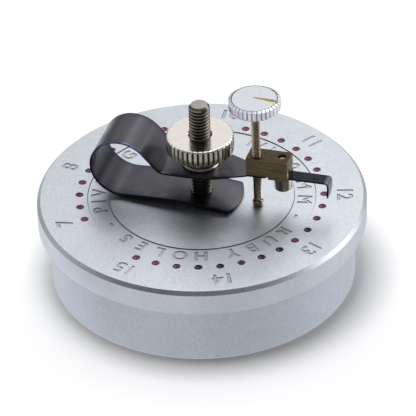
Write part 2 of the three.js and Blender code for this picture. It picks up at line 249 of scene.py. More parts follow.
def apply_modifiers(piece, sharp=32):
    depsgraph = bpy.context.evaluated_depsgraph_get()
    mesh = bpy.data.meshes.new_from_object(piece.evaluated_get(depsgraph))
    piece.modifiers.clear()
    old = piece.data
    piece.data = mesh
    bpy.data.meshes.remove(old)
    mesh.polygons.foreach_set("use_smooth", [True] * len(mesh.polygons))
    mesh.set_sharp_from_angle(angle=math.radians(sharp))
    return piece


def combine(piece, tools, operation="DIFFERENCE", crossing=False):
    """Cuts or joins the tools, which are used up. crossing is for tools whose own walls may cross."""
    for tool in tools:
        modifier = piece.modifiers.new("combine", "BOOLEAN")
        modifier.operation = operation
        modifier.solver = "EXACT"
        modifier.use_self = crossing
        modifier.object = tool
    apply_modifiers(piece)
    for tool in tools:
        bpy.data.objects.remove(tool)
    return piece


def without_slivers(piece):
    """Drops the slivers that cutting leaves in flat faces, and shades level faces flat."""
    mesh = bmesh.new()
    mesh.from_mesh(piece.data)
    bmesh.ops.dissolve_degenerate(mesh, dist=SLIVER * MM, edges=mesh.edges[:])
    for face in mesh.faces:
        face.smooth = abs(face.normal.z) < LEVEL
    mesh.to_mesh(piece.data)
    mesh.free()
    return piece


def round_edges(piece, width, segments=2, angle=40):
    modifier = piece.modifiers.new("round", "BEVEL")
    modifier.width = width * MM
    modifier.segments = segments
    modifier.limit_method = "ANGLE"
    modifier.angle_limit = math.radians(angle)
    modifier.harden_normals = False
    return apply_modifiers(piece, sharp=50)


def box_piece(name, x, y, z, place=Matrix()):
    vertices = [(i, j, k) for i in x for j in y for k in z]
    faces = [(0, 1, 3, 2), (4, 6, 7, 5), (0, 4, 5, 1), (2, 3, 7, 6), (0, 2, 6, 4), (1, 5, 7, 3)]
    return build(name, vertices, faces, place)


def arc(centre, radius, start, end, steps):
    """Points of a circular arc in a profile, from one angle to another."""
    angles = [math.radians(start + (end - start) * step / steps) for step in range(steps + 1)]
    return [(centre[0] + radius * math.cos(a), centre[1] + radius * math.sin(a)) for a in angles]


def drill(radius, bottom, top, place=Matrix(), steps=48):
    return turned("drill", [(0, bottom), (radius, bottom), (radius, top), (0, top)], steps, place)


def threaded(name, radius, depth, pitch, bottom, top, place=Matrix(), steps=48, chamfer=0.0):
    """A threaded rod: a helical ridge between flat ends, with the top edge chamfered."""
    section = ((0.0, depth), (0.16, depth), (0.48, 0.0), (0.64, 0.0))
    first = math.floor(bottom / pitch) - 2
    turns = math.ceil((top - bottom) / pitch) + 5
    rows = [(first + turn + share, sunk) for turn in range(turns) for share, sunk in section]
    vertices = []
    for height, sunk in rows:
        for step in range(steps):
            z = (height + step / steps) * pitch
            limit = radius - max(0.0, z - (top - chamfer))
            vertices.append((*polar(max(0.2, min(radius - sunk, limit)), TAU * step / steps), z))
    faces = []
    for row in range(len(rows) - len(section) - 1):
        for step in range(steps):
            wraps = step + 1 == steps
            after = (row + len(section) if wraps else row) * steps + (step + 1) % steps
            here = row * steps + step
            faces.append((here, after, after + steps, here + steps))
    mesh = bmesh.new()
    points = [mesh.verts.new(v) for v in vertices]
    for face in faces:
        mesh.faces.new([points[i] for i in face])
    for z, side in ((bottom, -1), (top, 1)):
        geometry = mesh.verts[:] + mesh.edges[:] + mesh.faces[:]
        bmesh.ops.bisect_plane(
            mesh, geom=geometry, dist=1e-5, plane_co=(0, 0, z), plane_no=(0, 0, side), clear_outer=True
        )
    bmesh.ops.delete(mesh, geom=[v for v in mesh.verts if not v.link_faces], context="VERTS")
    bmesh.ops.holes_fill(mesh, edges=[e for e in mesh.edges if e.is_boundary], sides=0)
    bmesh.ops.recalc_face_normals(mesh, faces=mesh.faces[:])
    result = bpy.data.meshes.new(name)
    mesh.to_mesh(result)
    mesh.free()
    result.transform(Matrix.Scale(MM, 4) @ place)
    return link_piece(name, result, sharp=40)


def knurl(radius, teeth, depth, groove=0.3):
    """How far out a knurled rim reaches at each angle: flat-topped teeth with round-bottomed gaps."""

    def limit(inner, angle):
        from_crest = abs((teeth * angle / TAU) % 1 - 0.5)
        into_gap = min(1, max(0, (groove - from_crest) / groove))
        return min(inner, radius - depth * into_gap * into_gap * (3 - 2 * into_gap))

    return limit


# ---- Materials -----------------------------------------------------------------------------


class Look:
    """A material being built from nodes, in the piece's own coordinates."""

    def __init__(self, name, color, metallic=1.0, roughness=0.3, **sockets):
        self.material = bpy.data.materials.new(name)
        self.material.use_nodes = True
        self.tree = self.material.node_tree
        self.shader = self.tree.nodes["Principled BSDF"]
        self.color = (*color, 1)
        self.shader.inputs["Base Color"].default_value = self.color
        self.shader.inputs["Metallic"].default_value = metallic
        self.shader.inputs["Roughness"].default_value = roughness
        for socket, value in sockets.items():
            self.shader.inputs[socket].default_value = value
        self.place = self.node("ShaderNodeTexCoord").outputs["Object"]

    def node(self, kind, inputs=None, **settings):
        made = self.tree.nodes.new(kind)
        for setting, value in settings.items():
            setattr(made, setting, value)
        for socket, value in (inputs or {}).items():
            self.feed(value, made.inputs[socket])
        return made

    def feed(self, value, socket):
        if isinstance(value, bpy.types.NodeSocket):
            self.tree.links.new(value, socket)
        else:
            socket.default_value = value

    def math(self, operation, first, second=0.0, third=0.0):
        made = self.node("ShaderNodeMath", {0: first, 1: second, 2: third}, operation=operation)
        return made.outputs[0]

    def ramp(self, value, low, high, to_low=0.0, to_high=1.0):
        inputs = {"Value": value, 1: low, 2: high, 3: to_low, 4: to_high}
        return self.node("ShaderNodeMapRange", inputs).outputs[0]

    def stretched(self, stretch):
        inputs = {0: self.place, 1: stretch}
        return self.node("ShaderNodeVectorMath", inputs, operation="MULTIPLY").outputs[0]

    def noise(self, size, detail=4.0, stretch=(1, 1, 1), roughness=0.55):
        """Noise from 0 to 1 whose blotches are about size millimetres across."""
        inputs = {
            "Vector": self.stretched(stretch),
            "Scale": 1 / (size * MM),
            "Detail": detail,
            "Roughness": roughness,
        }
        return self.node("ShaderNodeTexNoise", inputs).outputs["Fac"]

    def axis(self, index):
        return self.node("ShaderNodeSeparateXYZ", {0: self.place}).outputs[index]

    def facing(self, index):
        """One part of the surface's own direction: 2 is how far it faces up."""
        normal = self.node("ShaderNodeTexCoord").outputs["Normal"]
        return self.node("ShaderNodeSeparateXYZ", {0: normal}).outputs[index]

    def distance(self, centre, across):
        """Distance in metres from a line through a centre. across is 0 along the line, 1 elsewhere."""
        inputs = {0: self.place, 1: tuple(part * MM for part in centre)}
        offset = self.node("ShaderNodeVectorMath", inputs, operation="SUBTRACT").outputs[0]
        inputs = {0: offset, 1: across}
        flat = self.node("ShaderNodeVectorMath", inputs, operation="MULTIPLY").outputs[0]
        return self.node("ShaderNodeVectorMath", {0: flat}, operation="LENGTH").outputs["Value"]

    def radius(self, centre=(0, 0)):
        """Distance from an upright line, in metres."""
        return self.distance((*centre, 0), (1, 1, 0))

    def mix(self, factor, first, second):
        made = self.node("ShaderNodeMix", data_type="RGBA")
        self.feed(factor, made.inputs["Factor"])
        self.feed(first, made.inputs[6])
        self.feed(second, made.inputs[7])
        return made.outputs[2]

    def tint(self, factor, color):
        """Mixes another colour in where factor is 1."""
        socket = self.shader.inputs["Base Color"]
        before = socket.links[0].from_socket if socket.links else self.color
        self.tree.links.new(self.mix(factor, before, (*color, 1)), socket)

    def within(self, value, low, high, soft):
        """1 where a length in metres lies between two lengths in millimetres, 0 beyond them."""
        rise = self.ramp(value, (low - soft) * MM, (low + soft) * MM)
        fall = self.ramp(value, (high - soft) * MM, (high + soft) * MM, 1, 0)
        return self.math("MULTIPLY", rise, fall)

    def vary_roughness(self, factor, low, high):
        socket = self.shader.inputs["Roughness"]
        self.tree.links.new(self.ramp(factor, 0.3, 0.7, low, high), socket)

    def bump(self, height, depth):
        """Adds relief on top of what is there already; depth is in millimetres."""
        socket = self.shader.inputs["Normal"]
        inputs = {"Height": height, "Distance": depth * MM, "Strength": 1.0}
        if socket.links:
            inputs["Normal"] = socket.links[0].from_socket
        self.tree.links.new(self.node("ShaderNodeBump", inputs).outputs["Normal"], socket)


def rings(look, value, period):
    """Fine tool marks that repeat along a coordinate."""
    phase = look.math("MULTIPLY", value, TAU / (period * MM))
    return look.math("MULTIPLY_ADD", look.math("SINE", phase), 0.5, 0.5)


def aluminium():
    """Satin turned aluminium: a brighter flange over a darker drum, partly painted shade under the
    flange's overhang; paler edges, a painted highlight line along the flange's lower edge; engraving
    painted dark as shade.
    """
    look = Look("satin_aluminium", (0.66, 0.69, 0.72), roughness=0.4)
    height = look.axis(2)
    crease = PLATE_Z - FLANGE_THICK
    # The flange is tinted lighter and the drum below it darker; the drum's darker tone is partly
    # painted shade under the flange's overhang.
    flange = look.within(height, crease, PLATE_Z - FLANGE_CHAMFER, 0.02)
    look.tint(flange, (0.76, 0.8, 0.84))
    drum = look.ramp(height, (crease + 0.02) * MM, crease * MM)
    look.tint(drum, (0.6, 0.65, 0.7))
    cloud = look.noise(7, detail=3)
    blotches = look.noise(1.6, detail=5, roughness=0.65)
    grain = look.noise(0.32, detail=6, roughness=0.8)
    look.tint(look.ramp(cloud, 0.3, 0.75, 0, 0.35), (0.52, 0.57, 0.61))
    look.tint(look.ramp(blotches, 0.5, 0.75, 0, 0.4), (0.72, 0.76, 0.8))
    look.tint(look.ramp(grain, 0.48, 0.68, 0, 0.55), (0.85, 0.87, 0.9))
    look.tint(look.ramp(grain, 0.5, 0.34, 0, 0.35), (0.36, 0.4, 0.44))
    look.vary_roughness(grain, 0.34, 0.48)
    # The flange's lower edge and the drum's foot are painted paler; along the flange's edge this is a
    # painted highlight line.
    for edge_low, edge_high in ((crease - 0.1, crease + 0.14), (0.0, 0.26)):
        wear_and_sheen = look.within(height, edge_low, edge_high, 0.04)
        look.tint(look.math("MULTIPLY", wear_and_sheen, 0.55), (0.92, 0.93, 0.95))
    radius = look.radius()
    inside = look.ramp(radius, (FLANGE_R - 2) * MM, (FLANGE_R - 1.5) * MM, 1, 0)
    in_band = look.within(radius, BAND_INNER_R, BAND_OUTER_R, 0.005)
    below_rim = look.math("MULTIPLY_ADD", in_band, BAND_DEPTH * MM, height)
    # The engraving's hollows, and most of all its walls, are painted darker: painted shade.
    sunk = look.within(below_rim, PLATE_Z - 0.3, PLATE_Z - 0.015, 0.01)
    walls = look.within(below_rim, PLATE_Z - 0.125, PLATE_Z - 0.02, 0.012)
    for depths, strength, color in ((sunk, 0.3, (0.2, 0.22, 0.24)), (walls, 0.7, (0.1, 0.11, 0.12))):
        on_plate = look.math("MULTIPLY", depths, inside)
        look.tint(look.math("MULTIPLY", on_plate, strength), color)
    # The sides of the turned band are painted nearly black: painted shade.
    near_band = look.within(radius, BAND_INNER_R - 0.12, BAND_OUTER_R + 0.12, 0.01)
    band_side = look.math("SUBTRACT", near_band, in_band)
    below_plate = look.ramp(height, PLATE_Z * MM, (PLATE_Z - 0.02) * MM)
    band_side = look.math("MULTIPLY", band_side, below_plate)
    look.tint(look.math("MULTIPLY", band_side, 0.9), (0.03, 0.035, 0.04))
    look.bump(grain, 0.014)
    look.bump(look.noise(0.5, detail=3, stretch=(1, 1, 5)), 0.006)
    return look.material


def ruby():
    """Dark ruby: the flat rim painted darker as shade, leaving a pinker oil cup, round a hole painted
    black as shade. Some stones on one side are nearly black.
    """
    look = Look("ruby", (0.4, 0.1, 0.2), metallic=0.0, roughness=0.16, IOR=1.5)
    look.tint(look.ramp(look.noise(1.2), 0.35, 0.7, 0, 0.6), (0.2, 0.035, 0.09))
    height = look.axis(2)
    # The flat rim is painted darker, as painted shade, so that the oil cup reads pinker as if lit
    # through the stone.
    flat_ring = look.ramp(height, (PLATE_Z - 0.06) * MM, (PLATE_Z - 0.01) * MM, 0, 0.9)
    look.tint(flat_ring, (0.11, 0.014, 0.045))
    # The gauge hole is painted black, as painted shade.
    hole = look.ramp(height, (PLATE_Z - 0.19) * MM, (PLATE_Z - 0.24) * MM)
    look.tint(hole, (0.02, 0.004, 0.01))
    inputs = {0: look.place, 1: (0.71, -0.71, 0)}
    towards_front = look.node("ShaderNodeVectorMath", inputs, operation="DOT_PRODUCT").outputs["Value"]
    dark_side = look.ramp(towards_front, 17.2 * MM, 19 * MM)
    some = look.ramp(look.noise(5, detail=1), 0.4, 0.46)
    look.tint(look.math("MULTIPLY", dark_side, look.math("MULTIPLY", some, 0.9)), (0.018, 0.005, 0.008))
    look.bump(look.noise(0.3), 0.003)
    return look.material


def spring_steel():
    """Blackened spring strip, satin, bluer towards its edges, darker on the finger, and painted darker
    inside the loop as shade.
    """
    look = Look("blackened_spring_steel", (0.11, 0.106, 0.115), roughness=0.3)
    cloud = look.noise(3, detail=4)
    look.tint(look.ramp(cloud, 0.35, 0.75, 0, 0.5), (0.074, 0.071, 0.081))
    across = look.math("ABSOLUTE", look.axis(1))
    near_edge = look.ramp(across, 3.2 * MM, STRIP_WIDTH / 2 * MM)
    blued = look.math("MULTIPLY", near_edge, look.ramp(cloud, 0.3, 0.6, 0.2, 0.9))
    look.tint(blued, (0.055, 0.065, 0.115))
    # The inside of the loop's far half is painted darker, as painted shade.
    from_loop = look.distance((LOOP_X, 0, LOOP_Z), (1, 0, 1))
    inner = look.ramp(from_loop, (LOOP_R - 0.05) * MM, (LOOP_R + 0.05) * MM, 0.75, 0)
    far_half = look.ramp(look.axis(0), (LOOP_X + 2) * MM, (LOOP_X - 3) * MM)
    look.tint(look.math("MULTIPLY", inner, far_half), (0.045, 0.043, 0.05))
    finger = look.within(look.axis(0), BLOCK_X[1], BEND_X - 0.1, 0.2)
    finger = look.math("MULTIPLY", finger, look.ramp(look.noise(0.5), 0.3, 0.7, 0.75, 1))
    look.tint(finger, (0.016, 0.018, 0.028))
    hook = look.ramp(look.axis(0), (BEND_X + 0.1) * MM, (BEND_X + 0.5) * MM, 0, 0.8)
    look.tint(hook, (0.2, 0.195, 0.21))
    look.vary_roughness(cloud, 0.25, 0.36)
    look.bump(look.noise(0.12, detail=3, stretch=(0.04, 1, 0.04)), 0.003)
    return look.material


def blued_edge():
    """The strip's cut edge: nearly black, blued brightly over the crown of the loop."""
    look = Look("blued_strip_edge", (0.03, 0.03, 0.034), roughness=0.3)
    crown = look.ramp(look.axis(2), (LOOP_Z + 1.5) * MM, (LOOP_Z + 4) * MM)
    patches = look.ramp(look.noise(1.6), 0.35, 0.6, 0.25, 1)
    look.tint(look.math("MULTIPLY", crown, patches), (0.13, 0.15, 0.33))
    look.bump(look.noise(0.15), 0.004)
    return look.material


def nickel(name, color, roughness, centre=(0, 0), turning=0.0015):
    """Polished nickel with faint turning rings about an upright line."""
    look = Look(name, color, roughness=roughness)
    cloud = look.noise(1.8, detail=4)
    darker = tuple(0.86 * channel for channel in color)
    look.tint(look.ramp(cloud, 0.35, 0.75, 0, 0.5), darker)
    look.vary_roughness(cloud, roughness * 0.8, roughness * 1.25)
    look.bump(rings(look, look.radius(centre), 0.16), turning)
    look.bump(look.noise(0.25), turning)
    return look


def knurled_nickel(name, color, roughness, centre, rim, low, high, crest, gap):
    """Nickel whose knurled side, between two heights, takes a painted reflection colour on its crests
    and painted shade in its gaps and in streaks.
    """
    look = nickel(name, color, roughness, centre, turning=0.0004)
    side = look.within(look.axis(2), low, high, 0.04)
    # The whole knurled side takes the crest colour, a painted reflection.
    look.tint(side, crest)
    depth = look.ramp(look.radius(centre), (rim - 0.3) * MM, (rim - 0.06) * MM, 1, 0)
    # The gaps, and streaks down the side, are painted with the gap colour: painted shade.
    look.tint(look.math("MULTIPLY", side, depth), gap)
    streaks = look.ramp(look.noise(0.35, stretch=(1, 1, 0.15)), 0.45, 0.7, 0, 0.5)
    look.tint(look.math("MULTIPLY", side, streaks), gap)
    return look


def nut_nickel():
    low, high = NUT_LOW.z + NUT_HUB_TALL + 0.05, NUT_HIGH.z - 0.3
    # On the nut the crests are painted dull olive, a painted reflection of the dark strip below, and
    # the gaps darker still, painted shade.
    crest, gap = (0.5, 0.47, 0.39), (0.26, 0.25, 0.2)
    look = knurled_nickel(
        "polished_nickel", (0.94, 0.89, 0.81), 0.14, (0, 0), NUT_R, low, high, crest, gap
    )
    hub = look.ramp(look.axis(2), low * MM, (low - 0.1) * MM)
    look.tint(hub, (0.85, 0.83, 0.75))
    return look.material


def knob_silver():
    low = (ON_ROD @ Vector((0, 0, KNOB_BOTTOM))).z
    high = (ON_ROD @ Vector((0, 0, KNOB_TOP - KNOB_BEVEL_DROP - 0.1))).z
    centre = (ON_ROD @ Vector((0, 0, KNOB_TOP))).xy
    # On the knob the crests are painted brighter, a painted highlight, and the gaps darker, painted
    # shade.
    crest, gap = (0.95, 0.96, 0.98), (0.42, 0.45, 0.5)
    look = knurled_nickel(
        "knob_silver", (0.78, 0.81, 0.84), 0.26, centre, KNOB_R, low, high, crest, gap
    )
    # The ring groove round the face is painted dark, as painted shade.
    line = look.within(look.radius(centre), KNOB_FACE_R, KNOB_FACE_R + 0.13, 0.03)
    look.tint(look.math("MULTIPLY", line, 0.8), (0.09, 0.1, 0.11))
    return look.material


def streaked_nickel(name, color, dark, roughness, centre):
    """Nickel with dark streaks painted down its sides, a painted reflection."""
    look = nickel(name, color, roughness, centre)
    # Dark streaks down the sides are a painted reflection.
    reflection_streaks = look.noise(0.7, detail=2, stretch=(1, 1, 0.08))
    look.tint(look.ramp(reflection_streaks, 0.42, 0.62, 0, 0.9), dark)
    return look.material


def threads(name, crest, root, centre, crest_r, depth, roughness=0.26):
    """Machined thread: crests painted bright, as wear and as a painted highlight, over roots painted
    dark, as shade in the thread's hollows.
    """
    look = nickel(name, root, roughness, centre, turning=0.001)
    # Crests are painted bright as wear and painted highlight; the dark colour left in the roots is
    # painted shade.
    wear_and_sheen = look.ramp(look.radius(centre), (crest_r - depth) * MM, crest_r * MM)
    patchy = look.math("MULTIPLY", wear_and_sheen, look.ramp(look.noise(0.8), 0.3, 0.6, 0.45, 1))
    look.tint(patchy, crest)
    return look


def stud_nickel():
    crest, root = (0.3, 0.27, 0.22), (0.02, 0.018, 0.015)
    look = threads("dark_nickel", crest, root, (0, 0), STUD_R, STUD_THREAD_DEPTH)
    # The top and its chamfer are painted pale: the metal's tone clear of the roots' painted shade,
    # raised further as a painted highlight.
    top = look.ramp(look.axis(2), (STUD_TOP - 0.3) * MM, (STUD_TOP - 0.05) * MM, 0, 0.9)
    look.tint(top, (0.48, 0.45, 0.4))
    return look.material


def brass():
    """Aged brass block, filed by hand, with its top and outer end painted dark as shade, and its edges
    bright with wear and painted as a highlight.
    """
    look = Look("aged_brass", (0.34, 0.25, 0.14), roughness=0.42)
    look.tint(look.ramp(look.noise(1.4, detail=5), 0.35, 0.7, 0, 0.6), (0.24, 0.19, 0.13))
    strokes = look.noise(0.22, detail=3, stretch=(0.07, 0.4, 1))
    look.tint(look.ramp(strokes, 0.5, 0.7, 0, 0.6), (0.55, 0.38, 0.17))
    look.tint(look.ramp(strokes, 0.48, 0.34, 0, 0.6), (0.12, 0.09, 0.055))
    up = look.facing(2)
    # The upward face is painted dark, as painted shade.
    top = look.ramp(up, 0.9, 0.98)
    top = look.math("MULTIPLY", top, look.ramp(look.noise(0.6, detail=5), 0.3, 0.7, 0.98, 0.78))
    look.tint(top, (0.048, 0.037, 0.023))
    # The outward end is painted dark, as painted shade.
    outer_end = look.ramp(look.facing(0), 0.6, 0.95, 0, 0.85)
    look.tint(outer_end, (0.09, 0.065, 0.035))
    # The edges are painted bright, partly wear and partly a painted highlight.
    edge = look.math("MULTIPLY", look.ramp(up, 0.2, 0.5), look.ramp(up, 0.8, 0.95, 1, 0))
    edge = look.math("MULTIPLY", edge, look.ramp(look.noise(1.1), 0.35, 0.6, 0.15, 0.8))
    look.tint(edge, (0.8, 0.56, 0.25))
    look.vary_roughness(strokes, 0.34, 0.52)
    look.bump(strokes, 0.012)
    return look.material


def gilt():
    look = Look("gilt_lacquer", (0.42, 0.27, 0.06), roughness=0.35)
    look.tint(look.ramp(look.noise(0.6), 0.4, 0.65), (0.3, 0.19, 0.05))
    look.bump(look.noise(0.15), 0.01)
    return look.material


# ---- Engraving -----------------------------------------------------------------------------

FIGURE_TALL = 2.9
FIGURE_MIDDLE_R = 26.95
RING_TALL = 2.55
RING_MIDDLE_R = 19.45
RING_WORDS = "PIVOT GAUGE - 1/100 MM - RUBY HOLES - "
CAP_SHARE = 0.7  # height of a capital in the plain font, as a share of its size


def glyph_mesh(text, tall, widen):
    """A tool for cutting text: widest at z 0, with walls that slope in towards its depth."""
    curve = bpy.data.curves.new("glyph", "FONT")
    curve.body = text
    curve.size = tall / CAP_SHARE
    curve.align_x = "CENTER"
    curve.resolution_u = 3
    curve.offset = widen
    curve.extrude = 0.02
    curve.bevel_depth = 0.12
    curve.bevel_resolution = 0
    letter = bpy.data.objects.new("glyph", curve)
    bpy.context.scene.collection.objects.link(letter)
    bpy.context.view_layer.update()
    depsgraph = bpy.context.evaluated_depsgraph_get()
    mesh = bpy.data.meshes.new_from_object(letter.evaluated_get(depsgraph))
    bpy.data.objects.remove(letter)
    bpy.data.curves.remove(curve)
    return mesh


def stamp(text, tall, radius, angle, widen, surface):
    """The tool for one stamp, its head outwards, standing on a surface at an angle in degrees."""
    mesh = glyph_mesh(text, tall, widen)
    turn = Matrix.Rotation(math.radians(angle - 90), 4, "Z")
    shift = Matrix.Translation((0, radius - tall / 2, surface))
    mesh.transform(Matrix.Scale(MM, 4) @ turn @ shift)
    return mesh


def jewel_angle(index):
    return JEWEL_FIRST - index * JEWEL_STEP


def jewel_place(index):
    """Where a jewel's top stands, as a move from the middle of the base."""
    angle = math.radians(jewel_angle(index))
    return Matrix.Translation((*polar(JEWEL_RING_R, angle), PLATE_Z))


def figure_stamps():
    places = range(0, len(JEWEL_NODES), JEWELS_PER_FIGURE)
    figures = [str(SMALLEST_FIGURE + count) for count in range(len(places))]
    return [
        stamp(figure, FIGURE_TALL, FIGURE_MIDDLE_R, jewel_angle(place), -0.02, PLATE_Z)
        for figure, place in zip(figures, places)
    ]


def ring_stamps():
    narrow = {"I": 0.45, "1": 0.6, "-": 0.7, " ": 0.5, "/": 0.6, "M": 1.25, "W": 1.3}
    widths = [narrow.get(letter, 1.0) for letter in RING_WORDS]
    degrees_each = 360 / sum(widths)
    stamps = []
    passed = 0.0
    for letter, width in zip(RING_WORDS, widths):
        angle = JEWEL_FIRST - (passed + width / 2) * degrees_each
        passed += width
        if letter == " ":
            continue
        stamps.append(stamp(letter, RING_TALL, RING_MIDDLE_R, angle, 0, PLATE_Z - BAND_DEPTH))
    return stamps


def joined(name, meshes):
    """One object from several meshes, with their doubled points merged."""
    whole = bmesh.new()
    for mesh in meshes:
        whole.from_mesh(mesh)
        bpy.data.meshes.remove(mesh)
    bmesh.ops.remove_doubles(whole, verts=whole.verts[:], dist=0.002 * MM)
    bmesh.ops.recalc_face_normals(whole, faces=whole.faces[:])
    mesh = bpy.data.meshes.new(name)
    whole.to_mesh(mesh)
    whole.free()
    return link_piece(name, mesh)


# ---- Pieces --------------------------------------------------------------------------------


def add(piece, body, slot, look, *nodes):
    """Puts a finished piece on its body, in place of its nodes."""
    piece.data.materials.clear()
    piece.data.materials.append(look)
    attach(piece, body)
    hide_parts(*nodes)


def base_body():
    flange_bottom = PLATE_Z - FLANGE_THICK
    ease, fillet, band_wall = 0.22, 0.12, 0.1
    middle_r = 4  # a ring of points round the post's hole
    profile = [
        (0, RECESS_DEPTH),
        (RECESS_R - ease, RECESS_DEPTH),
        (RECESS_R, RECESS_DEPTH - ease),
        (RECESS_R, ease),
        (RECESS_R + ease, 0),
        *arc((DRUM_R - ease, ease), ease, -90, 0, 3),
        (DRUM_R, flange_bottom - fillet),
        (DRUM_R + fillet, flange_bottom),
        *arc((FLANGE_R - ease, flange_bottom + ease), ease, -90, 0, 3),
        (FLANGE_R, PLATE_Z - FLANGE_CHAMFER),
        (FLANGE_R - FLANGE_CHAMFER, PLATE_Z),
        (BAND_OUTER_R + band_wall, PLATE_Z),
        (BAND_OUTER_R, PLATE_Z - BAND_DEPTH),
        (BAND_INNER_R, PLATE_Z - BAND_DEPTH),
        (BAND_INNER_R - band_wall, PLATE_Z),
        (middle_r, PLATE_Z),
        (0, PLATE_Z),
    ]
    body = turned("gauge_base", profile, 288)
    combine(body, [joined("pockets", pockets())])
    combine(body, [joined("stamps", figure_stamps() + ring_stamps())], crossing=True)
    return without_slivers(body)


def pockets():
    """Tools for the jewels' pockets, each with a burnished edge, and for the stud's hole."""
    lip, below = 0.03, 0.06
    profile = [
        (0, -JEWEL_THICK - below),
        (POCKET_R, -JEWEL_THICK - below),
        (POCKET_R, -lip),
        (POCKET_R + 2 * lip, lip),
        (0, lip),
    ]
    tools = []
    for index in range(len(JEWEL_NODES)):
        tools.append(turned("pocket", profile, 32, jewel_place(index)))
    tools.append(drill(STUD_R + STUD_CLEARANCE, STUD_BOTTOM - STUD_CLEARANCE, PLATE_Z + 1))
    meshes = [tool.data for tool in tools]
    for tool in tools:
        bpy.data.objects.remove(tool)
    return meshes


def jewel(index):
    """A hole jewel: a disc with a polished edge, an oil cup and its gauge hole."""
    hole_r = (SMALLEST_FIGURE + index / JEWELS_PER_FIGURE) / 100 / 2
    edge, cup_r, cup_depth = 0.06, 0.5, 0.24
    cup_steps = 5
    cup = [
        (
            cup_r + (hole_r - cup_r) * step / cup_steps,
            -cup_depth * math.sin(math.pi / 2 * step / cup_steps),
        )
        for step in range(cup_steps + 1)
    ]
    profile = [
        (hole_r, -JEWEL_THICK),
        (JEWEL_R - edge, -JEWEL_THICK),
        (JEWEL_R, edge - JEWEL_THICK),
        (JEWEL_R, -edge),
        (JEWEL_R - edge, 0),
        *cup,
    ]
    return turned(f"ruby_{index + 1:02d}", profile, 32, jewel_place(index))


def walk(points, moves):
    """Extends a centre line of (x, z, heading) by straight moves and arcs in short steps."""
    for kind, size, turn in moves:
        x, z, heading = points[-1]
        if kind == "ahead":
            count = max(1, round(size / 0.6))
            for step in range(1, count + 1):
                far = size * step / count
                points.append((x + far * math.cos(heading), z + far * math.sin(heading), heading))
            continue
        side = math.copysign(1, turn)
        centre_x = x - side * size * math.sin(heading)
        centre_z = z + side * size * math.cos(heading)
        count = max(2, round(abs(turn) / 4), round(math.radians(abs(turn)) * size / 0.8))
        for step in range(1, count + 1):
            now = heading + math.radians(turn * step / count)
            points.append(
                (centre_x + side * size * math.sin(now), centre_z - side * size * math.cos(now), now)
            )
    return points


def strip_line():
    """The strip's centre line, from the leg's end round the loop to the hook's tip."""
    far_side = (LOOP_X - LOOP_R, LOOP_Z)
    leg = walk(
        [(*far_side, math.radians(270))],
        [("arc", LOOP_R, 90 + LEG_JOIN), ("arc", LEG_ARCH_R, -LEG_JOIN - LEG_END)],
    )
    drop, rise = math.radians(ARM_DROP), math.radians(ARM_RISE)
    leave = math.radians(90 - ARM_DROP)
    top_x, top_z = LOOP_X + LOOP_R * math.cos(leave), LOOP_Z + LOOP_R * math.sin(leave)
    meet_x = (top_z - ARM_Z + top_x * math.tan(drop)) / (math.tan(drop) + math.tan(rise))
    tangent = ARM_FILLET_R * math.tan((drop + rise) / 2)
    arm = walk(
        [(*far_side, math.radians(90))],
        [
            ("arc", LOOP_R, -90 - ARM_DROP),
            ("ahead", (meet_x - top_x) / math.cos(drop) - tangent, 0),
            ("arc", ARM_FILLET_R, ARM_DROP + ARM_RISE),
            ("ahead", (BEND_X - meet_x) / math.cos(rise) - tangent, 0),
            ("arc", BEND_R, -85 - ARM_RISE),
            ("arc", 9, -22),
        ],
    )
    turned_back = [(x, z, heading + math.pi) for x, z, heading in reversed(leg)]
    return turned_back + arm[1:], len(leg) - 1


# Half of the arm's width at distances from the post: a soft shoulder, a taper down to the block's
# width, and a step down to the finger.
NECK = (
    (0, 5.0),
    (1.4, 5.0),
    (2.1, 4.9),
    (2.8, 4.7),
    (3.8, 4.4),
    (9.9, 1.9),
    (13.35, 1.9),
    (13.36, 1.31),
)


def strip_half_width(x, on_arm, to_tip):
    """Half of the strip's width: full round the loop, tapering to the block, the finger and its tip."""
    if not on_arm or x <= 0:
        return STRIP_WIDTH / 2
    half = NECK[-1][1]
    for (x0, half0), (x1, half1) in zip(NECK, NECK[1:]):
        if x <= x1:
            half = half0 + (half1 - half0) * (x - x0) / (x1 - x0)
            break
    point, nose = 1.3, 0.25
    return half if to_tip > point else nose + (half - nose) * to_tip / point


